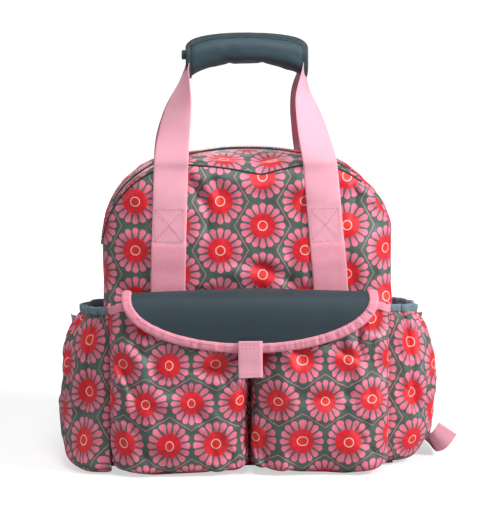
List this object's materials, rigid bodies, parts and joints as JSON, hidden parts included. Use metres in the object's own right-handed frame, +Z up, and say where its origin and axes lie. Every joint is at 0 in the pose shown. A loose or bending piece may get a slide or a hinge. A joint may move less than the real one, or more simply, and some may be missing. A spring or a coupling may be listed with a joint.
{
  "type": "diaper bag",
  "caption": "Dome-topped backpack with padded tote handle, flapped twin front pocket, elastic bottle pockets and padded shoulder straps.",
  "frame": {"origin": "on the ground at the centre of the main body's base", "axes": "+Z up, -Y out of the front pocket, +X to the wearer's left as seen from the front (the viewer's right)"},
  "size_m": [0.4591, 0.2427, 0.4792],
  "materials": {
    "printed_fabric": "coated polyester with a printed flower pattern",
    "slate_fabric": "dark slate polyester",
    "pink_webbing": "ribbed pink webbing and bias binding",
    "slate_elastic": "ribbed slate elastic",
    "lining_fabric": "thin grey lining",
    "foil_lining": "crinkled silver foil",
    "foam": "closed-cell foam",
    "stiffener": "plastic board",
    "zip_coil": "nylon coil and tape",
    "zip_metal": "nickel-plated zip metal",
    "buckle_plastic": "moulded acetal",
    "hook_loop": "hook and loop tape"
  },
  "bodies": {
    "bag": {"front_panel": "printed_fabric", "back_panel": "slate_fabric", "back_foam_pad": "foam", "base_panel": "slate_fabric", "side_gusset_left": "printed_fabric", "side_gusset_right": "printed_fabric", "top_gusset_front": "printed_fabric", "top_gusset_rear": "printed_fabric", "base_board": "stiffener", "main_lining": "lining_fabric", "zip_tape_front": "zip_coil", "zip_teeth_front": "zip_coil", "zip_tape_rear": "zip_coil", "zip_teeth_rear": "zip_coil", "zip_end_stops": "zip_metal", "pocket_bellows_left": "printed_fabric", "pocket_bellows_right": "printed_fabric", "pocket_mouth_binding": "pink_webbing", "loop_patch": "hook_loop", "front_webbing_left": "pink_webbing", "front_webbing_right": "pink_webbing", "rear_webbing_left": "pink_webbing", "rear_webbing_right": "pink_webbing", "strap_yoke": "pink_webbing", "side_pocket_left": "printed_fabric", "bottle_lining_left": "foil_lining", "side_elastic_left": "slate_elastic", "strap_anchor_left": "pink_webbing", "side_pocket_right": "printed_fabric", "bottle_lining_right": "foil_lining", "side_elastic_right": "slate_elastic", "strap_anchor_right": "pink_webbing"},
    "flap": {"flap_panel": "slate_fabric", "flap_binding": "pink_webbing", "flap_pull_tab": "pink_webbing", "hook_patch": "hook_loop"},
    "handle": {"handle_webbing_front": "pink_webbing", "handle_webbing_rear": "pink_webbing", "grip_pad": "slate_fabric"},
    "grip_wrap": {"grip_cover": "slate_fabric"},
    "crown_slider": {"zip_slider_crown": "zip_metal"},
    "crown_puller": {"zip_puller_crown": "zip_metal"},
    "shoulder_slider": {"zip_slider_shoulder": "zip_metal"},
    "shoulder_puller": {"zip_puller_shoulder": "zip_metal"},
    "strap_left": {"shoulder_strap_left": "slate_fabric", "ladder_lock_left": "buckle_plastic", "lower_webbing_left": "pink_webbing", "webbing_tail_left": "pink_webbing"},
    "strap_right": {"shoulder_strap_right": "slate_fabric", "ladder_lock_right": "buckle_plastic", "lower_webbing_right": "pink_webbing", "webbing_tail_right": "pink_webbing"}
  },
  "joints": [
    {"name": "flap_lift", "type": "hinge", "parent": "bag", "child": "flap", "pos_m": [0, -0.076, 0.203], "axis": [-1, 0, 0], "range_deg": [0, 88]},
    {"name": "handle_tilt", "type": "hinge", "parent": "bag", "child": "handle", "pos_m": [0, 0, 0.33], "axis": [1, 0, 0], "range_deg": [-25, 25]},
    {"name": "grip_wrap_open", "type": "hinge", "parent": "handle", "child": "grip_wrap", "pos_m": [0, 0.006, 0.44119], "axis": [1, 0, 0], "range_deg": [0, 70]},
    {"name": "crown_slider_run", "type": "hinge", "parent": "bag", "child": "crown_slider", "pos_m": [0, 0, 0.033], "axis": [0, 1, 0], "range_deg": [-20, 0]},
    {"name": "crown_puller_swing", "type": "hinge", "parent": "crown_slider", "child": "crown_puller", "pos_m": [0.08396, 0, 0.34635], "axis": [0, 1, 0], "range_deg": [0, 150]},
    {"name": "shoulder_slider_run", "type": "hinge", "parent": "bag", "child": "shoulder_slider", "pos_m": [-0.065, 0, 0.24527], "axis": [0, -1, 0], "range_deg": [0, 54]},
    {"name": "shoulder_puller_swing", "type": "hinge", "parent": "shoulder_slider", "child": "shoulder_puller", "pos_m": [-0.10665, 0, 0.33882], "axis": [0, -1, 0], "range_deg": [0, 150]},
    {"name": "left_strap_swing", "type": "hinge", "parent": "bag", "child": "strap_left", "pos_m": [-0.052, 0.0755, 0.33], "axis": [1, 0, 0], "range_deg": [0, 15]},
    {"name": "right_strap_swing", "type": "hinge", "parent": "bag", "child": "strap_right", "pos_m": [0.052, 0.0755, 0.33], "axis": [1, 0, 0], "range_deg": [0, 15]}
  ]
}
